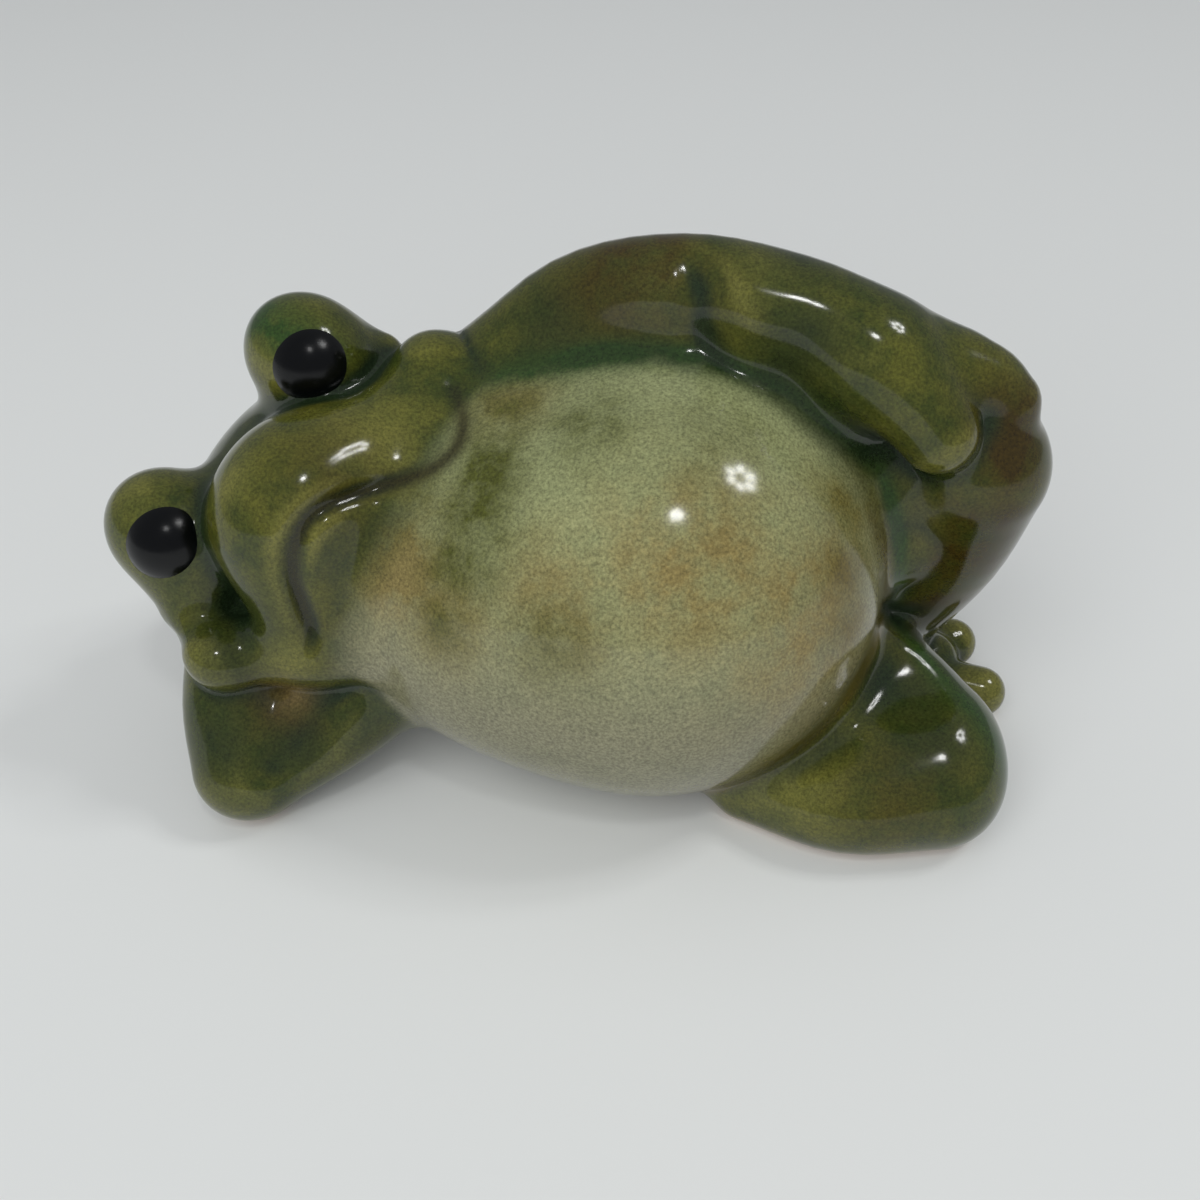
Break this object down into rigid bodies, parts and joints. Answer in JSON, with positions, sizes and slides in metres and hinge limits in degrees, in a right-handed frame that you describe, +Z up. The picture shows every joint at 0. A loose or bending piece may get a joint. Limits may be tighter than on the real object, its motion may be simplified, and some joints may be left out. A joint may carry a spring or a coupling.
{
  "type": "ceramic frog figurine",
  "caption": "Glazed slip-cast frog figurine lying on its side, head propped on one hand, for display on a shelf or table.",
  "frame": {"origin": "middle of the footprint of the figurine's box, on the plane that its unglazed feet stand on", "axes": "+X from the head towards the feet, along the longest side; +Y away from the belly, towards the frog's back; +Z up"},
  "size_m": [0.1592, 0.0834, 0.0913],
  "materials": {
    "belly_glaze": "gloss transparent glaze over pale clay, with a soft green and tan cloud",
    "green_glaze": "gloss transparent green glaze, dark in the grooves and olive on the ridges",
    "eye_glaze": "satin blue-black glaze"
  },
  "bodies": {
    "root": {"torso": "belly_glaze", "head": "green_glaze", "propping_arm": "green_glaze", "draped_arm": "green_glaze", "raised_leg": "green_glaze", "raised_foot": "green_glaze", "folded_leg": "green_glaze", "left_eye": "eye_glaze", "right_eye": "eye_glaze"}
  },
  "joints": []
}
